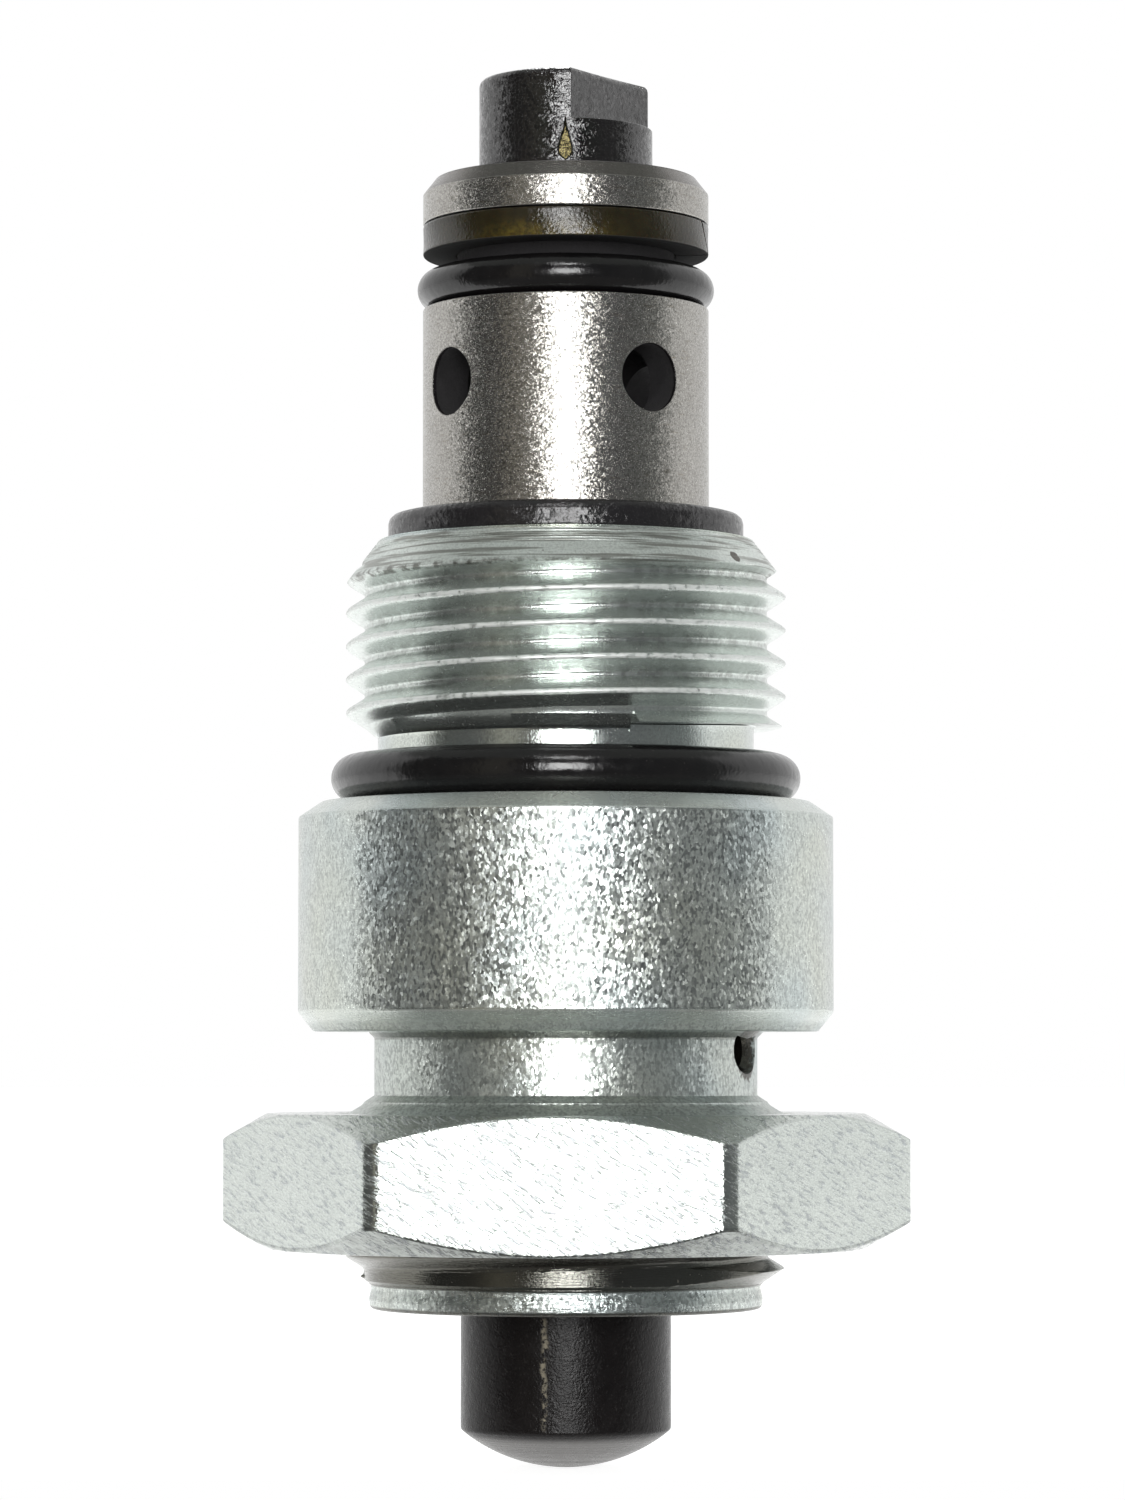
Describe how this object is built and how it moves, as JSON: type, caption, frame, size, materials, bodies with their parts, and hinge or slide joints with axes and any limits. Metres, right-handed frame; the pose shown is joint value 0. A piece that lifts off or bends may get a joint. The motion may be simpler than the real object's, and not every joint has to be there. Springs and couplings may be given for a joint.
{
  "type": "hydraulic cartridge valve",
  "caption": "Screw-in cartridge valve with a ported nose sleeve, O-ring seals, a threaded zinc body, a thin hex jam nut and a push button at its lower end.",
  "frame": {"origin": "on the axis at the body's seating face, which meets the face of the cavity", "axes": "+Z along the axis towards the nose; -Y is the side seen in the picture, with +X to its right"},
  "size_m": [0.0308, 0.0278, 0.0624],
  "materials": {
    "zinc_steel": "satin zinc plating, clear passivated",
    "black_steel": "black oxide, satin",
    "ground_steel": "hardened and ground on the outside, black oxide elsewhere",
    "bright_steel": "ground, bright",
    "spring_steel": "bright drawn wire",
    "nitrile": "satin black",
    "polymer_brown": "translucent brown polymer",
    "ptfe": "white",
    "bronze": "sintered bronze"
  },
  "bodies": {
    "housing": {"valve_body": "zinc_steel", "cage": "ground_steel", "face_o_ring": "nitrile", "nose_o_ring": "nitrile", "cage_seal": "nitrile", "stem_seal": "nitrile", "nose_backup_ring": "polymer_brown", "stem_backup_ring": "ptfe", "gland_washer": "bright_steel", "gland_circlip": "black_steel", "guide_bush": "bronze", "wiper_ring": "nitrile", "poppet_spring": "spring_steel", "return_spring": "spring_steel"},
    "poppet_group": {"poppet": "black_steel", "push_rod": "bright_steel", "spring_collar": "bright_steel", "collar_clip": "black_steel"},
    "plunger": {"plunger": "black_steel"},
    "jam_nut": {"jam_nut": "zinc_steel"}
  },
  "joints": [
    {"name": "plunger_slide", "type": "slide", "parent": "housing", "child": "plunger", "axis": [0, 0, 1], "range_m": [0, 0.003], "stiffness_N_per_m": 3000, "springref_m": -0.004, "deforming": ["return_spring"]},
    {"name": "poppet_slide", "type": "slide", "parent": "housing", "child": "poppet_group", "axis": [0, 0, 1], "range_m": [0, 0.003], "stiffness_N_per_m": 800, "springref_m": -0.004, "deforming": ["poppet_spring"]},
    {"name": "nut_turn", "type": "hinge", "parent": "housing", "child": "jam_nut", "pos_m": [0, 0, -0.0169], "axis": [0, 0, 1], "range_deg": [-180, 180]}
  ],
  "couplings": [
    {"joint": "poppet_slide", "follows": "plunger_slide", "ratio": 1}
  ]
}
